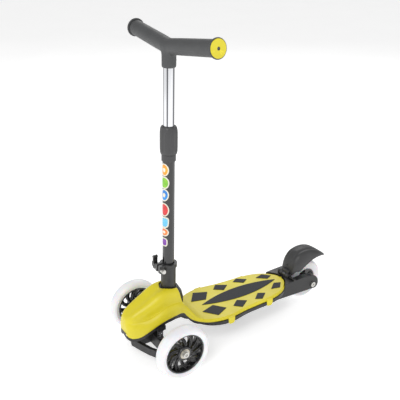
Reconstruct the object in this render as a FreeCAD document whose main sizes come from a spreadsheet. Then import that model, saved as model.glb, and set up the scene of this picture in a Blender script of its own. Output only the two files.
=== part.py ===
"""Three-wheeled kick scooter for a small child, as a parametric document.

Lengths are in millimetres. The scooter stands on z = 0 facing -Y, +X is its left side and the
origin is the bottom centre of its bounding box. Pieces of the chassis are laid out from the
front axle, pieces of the steering column along the raked stem, and wheels about their axles.
"""
import FreeCAD, Part
import math
import os
import re
from collections import namedtuple

import Sketcher

V = FreeCAD.Vector

DRIVING = {
    # whole scooter
    "wheelbase": 416, "track": 215, "nose_overhang": 80.5, "tail_overhang": 53,
    "bar_width": 300, "bar_height": 656, "bar_rise": 17, "bar_sweep": 8,
    # fits
    "running": 0.1, "slide": 0.05, "gap": 0.3,
    # wheels, bearings and axles
    "front_radius": 60, "front_width": 28, "front_rim": 44.5, "front_hub": 16,
    "rear_radius": 50, "rear_width": 24, "rear_rim": 29, "rear_hub": 14,
    "bearing_radius": 11, "bearing_width": 7, "axle": 4, "hub_shoulder": 9, "spoke_windows": 10,
    # deck
    "deck_top": 73, "cover_wall": 3, "seam": 66, "base_bottom": 58, "base_floor": 3,
    "skirt": 3, "deck_width": 140, "tail_setback": 71, "grip_rise": 1.2, "spine_bottom": 34,
    "spine_half": 24, "head_bottom": 84, "head_top": 96, "head_half": 30, "screw": 1.8,
    # cowl
    "cowl_half": 46, "cowl_top": 160, "rim_drop": 7, "cowl_wall": 3,
    # stem
    "stem_setback": 26.1, "stem_rake": 1.49, "housing_radius": 32, "housing_top": 153,
    "lower_tube": 12.5, "lower_bore": 11.4, "upper_tube": 10.9, "upper_bore": 9.4,
    "socket_bottom": 86, "socket_top": 209, "socket_radius": 16, "clamp_radius": 18.5,
    "clamp_height": 8.5, "skewer": 2.5, "skewer_height": 199, "skewer_reach": 21,
    "sleeve_bottom": 449, "sleeve_top": 506, "sleeve_radius": 18, "tee_bottom": 617,
    "tee_radius": 14.3, "upper_bottom": 250,
    # handlebar
    "grip_radius": 15.5, "grip_end": 146.5, "flange_radius": 18.3, "flange_width": 3.5,
    "cap_radius": 16.4, "core_radius": 9.5, "core_bore": 7.5,
    # truck and its tilted pivot
    "pivot_back": -16, "pivot_height": 58, "pivot_tilt": 30, "boss_radius": 11, "boss_half": 12,
    "pivot_bolt": 4, "bush_width": 3.2, "lug_width": 8, "arm_bottom": 33, "arm_top": 60,
    "guard_top": 50, "knuckle_in": 74, "knuckle_out": 90, "knuckle_radius": 12,
    "spring_side": 41, "spring_back": -15, "spring_radius": 6.5, "spring_wire": 1.6,
    # fork and brake
    "fork_half": 37, "fork_slot": 22, "fork_front": 306, "fork_bottom": 41, "fork_top": 78,
    "fork_back": 352, "fork_nose": 17.5, "brake_back": 356, "brake_height": 80, "brake_pin": 2.5,
    "brake_barrel": 5.5, "fender_half": 28, "fender_top": 138, "fender_wall": 3.5,
    "pad_gap": 5,
}

DOC = FreeCAD.newDocument("kick_scooter")
SHEET = DOC.addObject("Spreadsheet::Sheet", "Sizes")
for row, (alias, size) in enumerate(DRIVING.items(), 1):
    SHEET.set(f"A{row}", alias)
    SHEET.set(f"B{row}", str(size))
    SHEET.setAlias(f"B{row}", alias)
DOC.recompute()

SUB_PARTS = []
Seat = namedtuple("Seat", "x y z axis turn")

FRONT_AXLE = "((nose_overhang - wheelbase - tail_overhang) / 2)"
CHASSIS = Seat("0", FRONT_AXLE, "0", (0, 0, 1), "0")
STEM = Seat("0", f"{FRONT_AXLE} + stem_setback", "0", (1, 0, 0), "-stem_rake")
PIVOT = Seat("0", f"{FRONT_AXLE} + pivot_back", "pivot_height", (1, 0, 0), "-90 - pivot_tilt")
REAR_HUB = Seat("0", f"{FRONT_AXLE} + wheelbase", "rear_radius", (0, 1, 0), "90")
BRAKE = Seat("0", f"{FRONT_AXLE} + brake_back + wheelbase - 416", "brake_height", (0, 1, 0), "90")


# ---- helpers: expressions, placing, primitives, booleans, turned and padded bodies ----

def bound(text):
    """Expression text with every alias written as a cell of the sheet."""
    return re.sub(r"[a-z_]\w*", lambda m: f"Sizes.{m[0]}" if m[0] in DRIVING else m[0], str(text))


def number(text):
    """Value of such an expression now."""
    value = SHEET.evalExpression(bound(text))
    return float(getattr(value, "Value", value))


def bind(piece, **sizes):
    """Bind properties of a document object to the sheet."""
    for name, text in sizes.items():
        piece.setExpression(name.replace("__", "."), bound(text))
    return piece


def place(piece, seat):
    """Stand a piece in a seat: turned about one axis, then moved."""
    turn = number(seat.turn)
    base = V(number(seat.x), number(seat.y), number(seat.z))
    piece.Placement = FreeCAD.Placement(base, FreeCAD.Rotation(V(*seat.axis), turn))
    bind(piece, Placement__Base__x=seat.x, Placement__Base__y=seat.y, Placement__Base__z=seat.z)
    if turn:
        bind(piece, Placement__Rotation__Angle=seat.turn)
    return piece


def sub_part(piece, seat):
    """Put a finished sub-part in its seat and list it for export."""
    place(piece, seat)
    piece.Label = piece.Name
    SUB_PARTS.append(piece)
    return piece


def stock(name, radius, length):
    """Loose cylinder from its own origin up."""
    return bind(DOC.addObject("Part::Cylinder", name), Radius=radius, Height=length)


def cylinder(name, radius, low, high, x="0", y="0", along="Z"):
    """Cylinder between two heights of an axis along Z, X or Y."""
    seats = {"Z": Seat(x, y, low, (0, 0, 1), "0"), "X": Seat(low, x, y, (0, 1, 0), "90"),
             "Y": Seat(x, low, y, (1, 0, 0), "-90")}
    return place(stock(name, radius, f"({high}) - ({low})"), seats[along])


def box(name, x, y, z):
    """Box from three (low, high) pairs."""
    spans = [f"({high}) - ({low})" for low, high in (x, y, z)]
    block = bind(DOC.addObject("Part::Box", name), Length=spans[0], Width=spans[1], Height=spans[2])
    return place(block, Seat(x[0], y[0], z[0], (0, 0, 1), "0"))


def fuse(name, pieces):
    joined = DOC.addObject("Part::MultiFuse", name)
    joined.Shapes = pieces
    return joined


def cut(name, base, tools):
    """Base less the tools."""
    result = DOC.addObject("Part::Cut", name)
    result.Base = base
    result.Tool = tools[0] if len(tools) == 1 else fuse(f"{name}_tools", tools)
    return result


def group(name, pieces):
    """Identical fasteners or twin pieces kept together as separate solids."""
    kept = DOC.addObject("Part::Compound", name)
    kept.Links = pieces
    return kept


def ring(name, outer, inner, low, high, **where):
    tube = cylinder(f"{name}_outer", outer, low, high, **where)
    bore = cylinder(f"{name}_inner", inner, low, high, **where)
    return cut(name, tube, [bore])


def sketch_on(body, role, name):
    """Empty sketch on one of the body's own origin planes."""
    plane = next(f for f in body.Origin.OriginFeatures if f.Role == role)
    sketch = body.newObject("Sketcher::SketchObject", name)
    sketch.AttachmentSupport = [(plane, "")]
    sketch.MapMode = "FlatFace"
    return sketch


def draw(sketch, corners):
    """Closed polygon whose corners are bound to the sheet."""
    points = [V(number(x), number(y), 0) for x, y in corners]
    first = sketch.GeometryCount
    count = len(corners)
    for k, point in enumerate(points):
        sketch.addGeometry(Part.LineSegment(point, points[(k + 1) % count]))
    for k, (corner, point) in enumerate(zip(corners, points)):
        line = first + k
        sketch.addConstraint(Sketcher.Constraint("Coincident", line, 2, first + (k + 1) % count, 1))
        for kind, text, value in zip(("DistanceX", "DistanceY"), corner, point):
            index = sketch.addConstraint(Sketcher.Constraint(kind, -1, 1, line, 1, value))
            sketch.setExpression(f"Constraints[{index}]", bound(text))
    return sketch


def turned(name, section):
    """Body turned about its own Z axis from (radius, height) corners."""
    body = DOC.addObject("PartDesign::Body", name)
    sketch = draw(sketch_on(body, "XZ_Plane", f"{name}_section"), section)
    turn = body.newObject("PartDesign::Revolution", f"{name}_turn")
    turn.Profile = sketch
    turn.ReferenceAxis = (sketch, ["V_Axis"])
    turn.Angle = 360
    body.Tip = turn
    return body


def padded(name, role, corners, length):
    """Body padded from a polygon on an origin plane, to both sides of it alike."""
    body = DOC.addObject("PartDesign::Body", name)
    pad = body.newObject("PartDesign::Pad", f"{name}_pad")
    pad.Profile = draw(sketch_on(body, role, f"{name}_outline"), corners)
    pad.SideType = "Symmetric"
    bind(pad, Length=length)
    body.Tip = pad
    return body


def pocket_round(body, corners, count):
    """Pocket through the body, repeated evenly about its Z axis."""
    DOC.recompute()
    before = body.Shape.Volume
    pocket = body.newObject("PartDesign::Pocket", f"{body.Name}_window")
    pocket.Profile = draw(sketch_on(body, "XY_Plane", f"{body.Name}_window_outline"), corners)
    pocket.Type = "ThroughAll"
    pocket.SideType = "Symmetric"
    pattern = body.newObject("PartDesign::PolarPattern", f"{body.Name}_windows")
    pattern.Originals = [pocket]
    pattern.Axis = (next(f for f in body.Origin.OriginFeatures if f.Role == "Z_Axis"), [""])
    pattern.Angle = 360
    bind(pattern, Occurrences=count)
    body.Tip = pattern
    DOC.recompute()
    if body.Shape.Volume > 0.999 * before:
        raise RuntimeError(f"{body.Name}: its windows cut nothing")
    return body


def shaped(name, shape):
    """Sub-part whose shape comes from lofts or spline outlines."""
    piece = DOC.addObject("Part::Feature", name)
    piece.Shape = shape
    return piece


def block(x, y, z):
    """Plain box shape from three (low, high) pairs of numbers."""
    size = [high - low for low, high in (x, y, z)]
    return Part.makeBox(*size, V(x[0], y[0], z[0]))


def rod(radius, foot, direction, length):
    return Part.makeCylinder(radius, length, foot, direction)


# ---- shapes shared by several pieces ----

def deck_outline(offset):
    """Face of the foot deck's plan, grown or shrunk by offset.

    The front is laid out from the front axle and the rounded tail from the rear axle, so a longer
    wheelbase stretches only the middle.
    """
    width = number("deck_width") / 140
    tail = number("wheelbase - tail_setback")
    half = [(112, 63), (150, 70), (184, 64), (tail - 90, 59), (tail - 48, 52), (tail - 20, 36)]
    side = [V(38 * width + offset, 84, 0)] + [V(x * width + offset, y, 0) for y, x in half]
    tip = V(0, tail + offset, 0)
    mirrored = [V(-point.x, point.y, 0) for point in reversed(side)]
    curve = Part.BSplineCurve()
    curve.interpolate(side + [tip] + mirrored)
    front = Part.LineSegment(mirrored[-1], side[0])
    return Part.Face(Part.Wire([curve.toShape(), front.toShape()]))


def deck_slab(offset, low, high):
    """The deck's plan as a slab between two heights."""
    face = deck_outline(offset)
    face.translate(V(0, 0, low))
    return face.extrude(V(0, 0, high - low))


def arch(station, half, low, high, power):
    """Closed arch across X at one station: flat foot and a superelliptic crown."""
    steps = [math.pi * k / 12 for k in range(13)]
    crown = []
    for angle in steps:
        across = math.copysign(abs(math.cos(angle)) ** (2 / power), math.cos(angle))
        rise = abs(math.sin(angle)) ** (2 / power)
        crown.append(V(half * across, station, low + (high - low) * rise))
    curve = Part.BSplineCurve()
    curve.interpolate(crown)
    foot = Part.LineSegment(crown[-1], crown[0])
    return Part.Wire([curve.toShape(), foot.toShape()])


def arched_shell(stations, wall, power, open_ends):
    """Hood lofted through arches and opened below; open_ends leaves the ends open too."""
    outer = Part.makeLoft([arch(*station, power) for station in stations], True)
    hollow = []
    for index, (y, half, low, high) in enumerate(stations):
        at_end = index in (0, len(stations) - 1)
        step = 0
        if at_end:
            outward = -1 if index == 0 else 1
            step = outward * wall if open_ends[bool(index)] else -outward * wall
        hollow.append(arch(y + step, half - wall, low - 2 * wall, high - wall, power))
    return outer.cut(Part.makeLoft(hollow, True))


def pivot_line():
    """Middle and direction of the truck's tilted pivot, in the chassis layout."""
    tilt = math.radians(number("pivot_tilt"))
    middle = V(0, number("pivot_back"), number("pivot_height"))
    return middle, V(0, math.cos(tilt), -math.sin(tilt))


def pivot_rod(radius, low, high):
    """Rod along the pivot between two distances from its middle."""
    middle, along = pivot_line()
    return rod(radius, middle + along * low, along, high - low)


def lay_on_pivot(piece, low):
    """Lay a loose cylinder along the pivot, starting at a distance from its middle."""
    middle, along = pivot_line()
    turn = FreeCAD.Rotation(V(0, 0, 1), along)
    piece.Placement = FreeCAD.Placement(middle + along * number(low), turn)
    return piece


def stem_rod(radius, low, high):
    """Rod along the raked stem, in the chassis layout."""
    rake = math.radians(number("stem_rake"))
    along = V(0, math.sin(rake), math.cos(rake))
    return rod(radius, V(0, number("stem_setback"), 0) + along * low, along, high - low)


def deck_screw_spots():
    tail = number("wheelbase - tail_setback")
    side = number("deck_width") / 140
    rows = [(122, 50 * side), (232, 44 * side), (tail - 62, 38 * side)]
    return [(sign * x, y) for y, x in rows for sign in (1, -1)]


def fork_screw_spots():
    front = number("fork_front + wheelbase - 416")
    return [(sign * 14, front + step) for step in (8, 26) for sign in (1, -1)]


def tab_spots():
    """Middles of the cover's clip tabs over the edge of the base, as (side, y, reach)."""
    width = number("deck_width") / 140
    rear = number("wheelbase") - 153
    return [(sign, y, reach * width) for y, reach in ((148, 70), (rear, 58.5)) for sign in (1, -1)]


def tab(side, y, reach, grow):
    """One clip tab hanging from the cover, grown for its notch in the base."""
    skirt = number("skirt")
    inner, outer = sorted((side * (reach - 4 - grow), side * (reach + skirt + 1 + grow)))
    low = number("base_bottom") - 4 - grow
    return block((inner, outer), (y - 9 - grow, y + 9 + grow), (low, number("seam") + 3))


def cowl_stations():
    """The cowl from its nose over the stem and down the neck to the deck.

    Each row is a station, the half width there, the height of the lip and that of the crown.
    """
    half, top = number("cowl_half"), number("cowl_top")
    nose = -number("nose_overhang")
    return [(nose, 12, 78, 104), (nose + 4.5, 22, 70, 114), (nose + 12.5, 30, 70, 119),
            (nose + 24.5, half - 9, 74, top - 33), (nose + 40.5, half - 3, 84, top - 24),
            (-20, half, 94, top - 12), (0, half, 100, top - 2), (20, half, 103, top),
            (38, half - 3, 104, top - 2), (47, half - 5, 97, 124), (57, half - 6, 85, 110),
            (67, half - 4, 75, 95), (78, half + 1, 70, 82), (90, half + 8, 67, 76)]


def lip_rim(side):
    """Half of the base's rim, which follows the cowl's lip from the nose to the deck."""
    wall, drop = number("cowl_wall"), number("rim_drop")
    wires = []
    for y, half, low, _ in cowl_stations():
        outer, inner = side * (half - 0.6), side * (half - 0.6 - wall)
        if y == -number("nose_overhang"):
            inner = -side
        corners = [V(inner, y, low - drop), V(outer, y, low - drop), V(outer, y, low), V(inner, y, low)]
        wires.append(Part.makePolygon(corners + corners[:1]))
    return Part.makeLoft(wires, True).cut(Part.makeLoft([arch(*row, 2.6) for row in cowl_stations()], True))


def housing_section(grow):
    """Outline of the housing round the stem's foot as (radius, height) pairs, grown outwards."""
    socket, wide, top = number("socket_radius"), number("housing_radius"), number("housing_top")
    return [(socket, number("head_top") + 1.5), (wide + grow, number("head_top") + 1.5),
            (wide + grow, 125), (0.9 * wide + grow, 139), (socket + 4 + grow, top), (socket, top)]


def housing_solid(grow):
    """Room for the housing, open upwards, in the chassis layout."""
    corners = housing_section(grow)
    top_radius = corners[-2][0]
    corners = [(0, corners[0][1])] + corners[1:-1] + [(top_radius, 220), (0, 220)]
    points = [V(radius, 0, height) for radius, height in corners]
    solid = Part.Face(Part.makePolygon(points + points[:1])).revolve(V(), V(0, 0, 1), 360)
    turn = FreeCAD.Rotation(V(1, 0, 0), -number("stem_rake"))
    solid.Placement = FreeCAD.Placement(V(0, number("stem_setback"), 0), turn)
    return solid


# ---- deck: base, cover, grips and their screws ----

def deck_base():
    """Moulded base: a tray under the cover, a spine, and the head block that holds the stem.

    Two lugs hold the truck's tilted pivot, a plate under the head block seats its springs and a
    rim runs round under the cowl's lip.
    """
    bottom, seam, floor = number("base_bottom"), number("seam"), number("base_floor")
    skirt, half = number("skirt"), number("spine_half")
    tray = deck_slab(skirt, bottom, seam)
    tray = tray.cut(deck_slab(-6, bottom + floor, seam + 1))
    bosses = [rod(5, V(x, y, bottom), V(0, 0, 1), seam - bottom)
              for x, y in deck_screw_spots() + fork_screw_spots()]
    spine_low, end = number("spine_bottom"), number("fork_front + wheelbase - 416")
    head_low, head_top = number("head_bottom"), number("head_top")
    side = [(end, spine_low), (end, 60), (88, 60), (60, 91), (56, head_top), (40, head_top),
            (40, head_low), (56, 72), (88, 56), (108, 56), (132, spine_low)]
    edge = Part.makePolygon([V(-half, y, z) for y, z in side + side[:1]])
    spine = Part.Face(edge).extrude(V(2 * half, 0, 0))
    head = block((-number("head_half"), number("head_half")), (-36, 56), (head_low, head_top))
    reach = number("spring_side") + 7
    back = number("spring_back")
    plate = block((-reach, reach), (back - 8, back + 10), (head_low - 3, head_low + 7))
    bush_end = number("boss_half + gap + bush_width")
    lug = number("lug_width")
    lugs = [pivot_rod(number("boss_radius"), bush_end, bush_end + lug),
            pivot_rod(number("boss_radius"), -bush_end - lug, -bush_end)]
    for distance, (before, behind) in ((bush_end + lug, (-0.5, 6.5)), (-bush_end - lug, (-2.5, 4))):
        foot = pivot_line()[0] + pivot_line()[1] * distance
        lugs.append(block((-8.5, 8.5), (foot.y + before, foot.y + behind), (foot.z, head_low + 1)))
    solid = tray.multiFuse(bosses + [spine, head, plate, lip_rim(1), lip_rim(-1)] + lugs)
    holes = [stem_rod(number("socket_radius"), number("socket_bottom"), head_top + 60),
             pivot_rod(number("pivot_bolt"), -80, 90),
             pivot_rod(9.3, bush_end + lug, 40),
             pivot_rod(9.3, -40, -bush_end - lug)]
    holes += [rod(number("screw"), V(x, y, bottom - 1), V(0, 0, 1), seam - bottom + 1)
              for x, y in deck_screw_spots()]
    holes += [rod(number("screw"), V(x, y, bottom - 1), V(0, 0, 1), seam - bottom - 1)
              for x, y in fork_screw_spots()]
    holes += [tab(*spot, number("gap")) for spot in tab_spots()]
    return sub_part(shaped("deck_base", solid.cut(holes).removeSplitter()), CHASSIS)


def top_shell():
    """One moulding: the cowl over the truck, its flowing neck and the deck cover."""
    cowl = arched_shell(cowl_stations(), number("cowl_wall"), 2.6, (False, True))
    half = number("cowl_half")
    deck_top, seam = number("deck_top"), number("seam")
    cover = deck_slab(0, seam, deck_top)
    cover = cover.cut(deck_slab(-4, seam - 1, deck_top - number("cover_wall")))
    bosses = [rod(5, V(x, y, seam), V(0, 0, 1), deck_top - seam - 1) for x, y in deck_screw_spots()]
    tabs = [tab(*spot, 0) for spot in tab_spots()]
    under_neck = block((-half + 2, half - 2), (70, 92), (seam - 2, deck_top - number("cover_wall")))
    solid = cowl.multiFuse([cover.cut(under_neck)] + bosses + tabs)
    holes = [housing_solid(number("gap"))]
    holes += [rod(number("screw"), V(x, y, seam - 1), V(0, 0, 1), 4) for x, y in deck_screw_spots()]
    spine = number("spine_half + gap")
    holes.append(block((-spine, spine), (60, 96), (50, number("seam") + 1)))
    for side, y, reach in tab_spots():
        inner, outer = sorted((side * (reach - 30), side * (reach - 4)))
        holes.append(block((inner, outer), (y - 9, y + 9), (40, seam)))
    return sub_part(shaped("top_shell", solid.cut(holes).removeSplitter()), CHASSIS)


def grip_pad():
    """Spindle-shaped grip on the centre line: where two large discs overlap."""
    length, half = "(wheelbase - 206)", "20"
    radius = f"({length} ^ 2 / 4 + {half} ^ 2) / (2 * {half})"
    middle = f"116 + {length} / 2"
    discs = [cylinder(f"grip_disc_{side}", radius, "deck_top", "deck_top + grip_rise",
                      x=f"{sign} * ({radius} - {half})", y=middle)
             for side, sign in (("left", 1), ("right", -1))]
    pad = DOC.addObject("Part::Common", "grip_pad")
    pad.Base, pad.Tool = discs
    return sub_part(pad, CHASSIS)


def grip_diamonds():
    """Four pairs of lozenge grips, the first two set from the front and the others from the back."""
    stretch = number("wheelbase") - 416
    width = number("deck_width") / 140
    lozenges = [(0, [(24, 102), (14, 136), (39.5, 156), (54, 125)]),
                (0, [(26, 194), (40, 213), (56, 189), (41, 174)]),
                (stretch, [(27.7, 252.6), (36.8, 268.5), (53, 247.8), (44.6, 232.5)]),
                (stretch, [(12, 313), (19, 329), (36, 313), (30, 291)])]
    low, rise = number("deck_top"), V(0, 0, number("grip_rise"))
    solids = []
    for shift, corners in lozenges:
        for sign in (1, -1):
            points = [V(sign * x * width, y + shift, low) for x, y in corners]
            solids.append(Part.Face(Part.makePolygon(points + points[:1])).extrude(rise))
    return sub_part(shaped("grip_diamonds", Part.makeCompound(solids)), CHASSIS)


def screws(name, spots, head_low, head_high, tip, head_radius):
    """Group of pan-head screws driven upwards."""
    solids = []
    for x, y in spots:
        head = rod(head_radius, V(x, y, head_low), V(0, 0, 1), head_high - head_low)
        shank = rod(number("screw"), V(x, y, head_high), V(0, 0, 1), tip - head_high)
        solids.append(head.fuse(shank))
    return sub_part(shaped(name, Part.makeCompound(solids)), CHASSIS)


# ---- rear fork, rear axle and brake ----

def rear_fork():
    """Fork bolted under the tail: a block whose two cheeks run back to the rear axle."""
    shift = number("wheelbase") - 416
    front, back = number("fork_front") + shift, number("fork_back") + shift
    low, top, nose = number("fork_bottom"), number("fork_top"), number("fork_nose")
    axle_y, axle_z = number("wheelbase"), number("rear_radius")
    outline = [V(0, axle_y + 3, axle_z - 12.5), V(0, front, low), V(0, front, top - 4.5),
               V(0, back - 6, top - 1.5), V(0, back + 34, top), V(0, axle_y - 8, top - 3)]
    edges = [Part.LineSegment(a, b).toShape() for a, b in zip(outline, outline[1:])]
    end = Part.BSplineCurve()
    end.interpolate([outline[-1], V(0, axle_y + 10, axle_z + 19), V(0, axle_y + nose, axle_z + 7),
                     V(0, axle_y + nose, axle_z - 4), V(0, axle_y + 13.5, axle_z - 10.5), outline[0]])
    edges.append(end.toShape())
    half = number("fork_half")
    side = Part.Face(Part.Wire(edges))
    side.translate(V(-half, 0, 0))
    solid = side.extrude(V(2 * half, 0, 0))
    slot = number("fork_slot")
    pin_y, pin_z = number("brake_back") + shift, number("brake_height")
    barrel = number("brake_barrel")
    ears = []
    for inner, outer in ((14.2, 19.5), (-19.5, -14.2)):
        ears.append(rod(barrel, V(inner, pin_y, pin_z), V(1, 0, 0), outer - inner))
        ears.append(block((inner, outer), (pin_y - barrel, pin_y + barrel), (top - 8, pin_z)))
    bottom, gap = number("base_bottom"), number("gap")
    holes = [block((-slot, slot), (back + 8, axle_y + 60), (0, 200)),
             block((-14.2, 14.2), (pin_y - 8, pin_y + 60), (pin_z - 7.5, 200)),
             deck_slab(number("skirt") + gap, bottom, 200),
             rod(number("axle"), V(-60, axle_y, axle_z), V(1, 0, 0), 120),
             rod(number("brake_pin"), V(-60, pin_y, pin_z), V(1, 0, 0), 120)]
    for x, y in fork_screw_spots():
        holes.append(rod(number("screw"), V(x, y, low - 5), V(0, 0, 1), 60))
        holes.append(rod(4, V(x, y, low - 5), V(0, 0, 1), 15))
    fork = solid.cut(holes[:1] + holes[2:3]).multiFuse(ears).cut(holes[1:2] + holes[3:])
    return sub_part(shaped("rear_fork", fork.removeSplitter()), CHASSIS)


def rear_axle():
    """Bolt with its head on the left, nut on the right and spacers inside the fork."""
    half = "(fork_half)"
    bolt = turned("rear_axle_bolt", [("0", f"-{half} - 8"), ("axle", f"-{half} - 8"),
                                     ("axle", half), ("6.5", half), ("6.5", f"{half} + 4"),
                                     ("3", f"{half} + 4"), ("3", f"{half} + 1.5"),
                                     ("0", f"{half} + 1.5")])
    sub_part(bolt, REAR_HUB)
    sub_part(ring("rear_axle_nut", "6.5", "axle", f"-{half} - 6", f"-{half}"), REAR_HUB)
    face = "rear_width / 2"
    spacers = [ring("rear_spacer_left", "7", "axle", f"{face} + gap", "fork_slot"),
               ring("rear_spacer_right", "7", "axle", "-fork_slot", f"-{face} - gap")]
    sub_part(group("rear_axle_spacers", spacers), REAR_HUB)


def brake_fender():
    """Mudguard that is also the brake: an arched hood on a hinge barrel, with a rubbing block."""
    shift = number("wheelbase") - 416
    half, top, wall = number("fender_half"), number("fender_top"), number("fender_wall")
    end = number("wheelbase + tail_overhang - 0.5")
    stations = [(363, half - 9, 80.5, top - 36), (372, half - 4, 88, top - 16),
                (386, half, 94, top - 3), (402, half, 104, top), (418, half, 112, top - 0.5),
                (434, half, 116, top - 5), (452, half - 4, 114, top - 15)]
    stations = [(y + shift, *sizes) for y, *sizes in stations] + [(end, 19, 107, top - 26)]
    hood = arched_shell(stations, wall, 3, (False, True))
    pin_y, pin_z = number("brake_back") + shift, number("brake_height")
    barrel = number("brake_barrel")
    axle = V(-60, number("wheelbase"), number("rear_radius"))
    rub = block((-9, 9), (pin_y + 32, pin_y + 60), (90, top - wall - 1.1))
    rub = rub.cut(rod(number("rear_radius + pad_gap"), axle, V(1, 0, 0), 120))
    hinge = rod(barrel, V(-13.8, pin_y, pin_z), V(1, 0, 0), 27.6)
    web = block((-11, 11), (pin_y, pin_y + 8), (pin_z, pin_z + 8))
    spring_room = block((-4.8, 4.8), (pin_y - 20, pin_y + 5), (70, pin_z + 7))
    bore = rod(number("brake_pin + running"), V(-60, pin_y, pin_z), V(1, 0, 0), 120)
    solid = hood.multiFuse([hinge, web, rub]).cut([bore, spring_room])
    sub_part(shaped("brake_fender", solid.removeSplitter()), CHASSIS)


def brake_hinge():
    """Pin pressed through the fork's ears, with the return spring coiled round it."""
    sub_part(cylinder("brake_hinge_pin", "brake_pin", "-19.5", "19.5"), BRAKE)
    sub_part(ring("brake_spring", "brake_pin + 2.2", "brake_pin + gap", "-4.5", "4.5"), BRAKE)


# ---- wheels: each is laid out along its own axle, outer face towards +Z ----

def wheel_seat(side):
    """Seat of a front wheel; side is left (+X) or right (-X)."""
    sign = {"left": "", "right": "-"}[side]
    return Seat(f"{sign}track / 2", FRONT_AXLE, "front_radius", (0, 1, 0), f"{sign}90")


def tyre(name, radius, rim, width, crown, seat):
    """Solid tyre with a rounded tread; crown is how far its shoulders drop."""
    half, inset = f"{width} / 2", f"{width} / 2 - 3"
    section = [(rim, f"-({inset})"), (f"{rim} + 4", f"-{half}"), (f"{radius} - {crown}", f"-{half}"),
               (f"{radius} - 0.45 * {crown}", f"-0.82 * {half}"),
               (f"{radius} - 0.1 * {crown}", f"-0.45 * {half}"), (radius, "0"),
               (f"{radius} - 0.1 * {crown}", f"0.45 * {half}"),
               (f"{radius} - 0.45 * {crown}", f"0.82 * {half}"), (f"{radius} - {crown}", half),
               (f"{rim} + 4", half), (rim, inset)]
    return sub_part(turned(name, section), seat)


def bearing_pair(name, low, high, seat):
    """Two ball bearings pressed into the hub, between heights low and high."""
    bore = "axle + running"
    pair = [ring(f"{name}_inner_side", "bearing_radius", bore, low, f"{low} + bearing_width"),
            ring(f"{name}_outer_side", "bearing_radius", bore, f"{high} - bearing_width", high)]
    sub_part(group(name, pair), seat)


def hub_section(hub, rim, low, high, web_low, web_high, barrel):
    """Section of a rim: bearing seats, web and barrel, as (radius, height) corners."""
    seat_low, seat_high = f"{low} + bearing_width", f"{high} - bearing_width"
    return [("bearing_radius", low), (hub, low), (hub, web_low), (f"{rim} - 4", web_low),
            (f"{rim} - 4", f"-({barrel})"), (rim, f"-({barrel})"), (rim, barrel),
            (f"{rim} - 4", barrel), (f"{rim} - 4", web_high), (hub, web_high), (hub, high),
            ("bearing_radius", high), ("bearing_radius", seat_high), ("hub_shoulder", seat_high),
            ("hub_shoulder", seat_low), ("bearing_radius", seat_low)]


def front_wheel(side):
    """White tyre on a rim with swept windows, two bearings and the tube between them."""
    seat = wheel_seat(side)
    tyre(f"front_tyre_{side}", "front_radius", "front_rim", "front_width", "6", seat)
    low, high = "-13", "10"
    section = hub_section("front_hub", "front_rim", low, high, "-4", "4", "front_width / 2 - 3")
    rim = turned(f"front_rim_{side}", section)
    inner, outer = "front_hub + 2.5", "front_rim - 6.5"
    window = [(inner, "-3.2"), (f"0.7 * {outer}", "-1"), (outer, "-1.5"), (f"0.94 * {outer}", "9"),
              (f"0.66 * ({outer})", "7"), (f"0.98 * ({inner})", "2.6")]
    sub_part(pocket_round(rim, window, "spoke_windows"), seat)
    bearing_pair(f"front_bearings_{side}", low, high, seat)
    tube = ring(f"front_bearing_tube_{side}", "7", "axle + running + 0.1",
                f"{low} + bearing_width", f"{high} - bearing_width")
    sub_part(tube, seat)


def front_axle(side):
    """Axle bolt through the truck's knuckle, its washers and its lock nut."""
    seat = wheel_seat(side)
    inner, outer = "knuckle_in - track / 2", "knuckle_out - track / 2"
    head = "10 + gap + 1"
    section = [("0", f"{inner} - 7"), ("axle", f"{inner} - 7"), ("axle", head), ("6.5", head),
               ("6.5", f"{head} + 4.2"), ("3", f"{head} + 4.2"), ("3", f"{head} + 1.7"),
               ("0", f"{head} + 1.7")]
    sub_part(turned(f"front_axle_bolt_{side}", section), seat)
    washers = [ring(f"front_washer_{side}", "8", "axle", f"{head} - 1", head),
               ring(f"front_spacer_{side}", "7", "axle", outer, "-13 - gap")]
    sub_part(group(f"front_axle_washers_{side}", washers), seat)
    sub_part(ring(f"front_axle_nut_{side}", "6.5", "axle", f"{inner} - 6", inner), seat)


def rear_wheel():
    """Small white wheel between the cheeks of the fork."""
    tyre("rear_tyre", "rear_radius", "rear_rim", "rear_width", "4", REAR_HUB)
    face = "rear_width / 2"
    section = hub_section("rear_hub", "rear_rim", f"-{face}", face, "-4", "4", f"{face} - 3")
    rim = turned("rear_rim", section)
    middle = "(rear_hub + rear_rim - 4) / 2"
    window = [(f"{middle} - 3.5", "-3"), (f"{middle} + 3.5", "-4"), (f"{middle} + 3.5", "4"),
              (f"{middle} - 3.5", "3")]
    sub_part(pocket_round(rim, window, "6"), REAR_HUB)
    bearing_pair("rear_bearings", f"-{face}", face, REAR_HUB)
    sub_part(ring("rear_bearing_tube", "7", "axle + running + 0.1", f"-{face} + bearing_width",
                  f"{face} - bearing_width"), REAR_HUB)


# ---- truck: leans about a tilted pivot, which steers the front wheels ----

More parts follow.
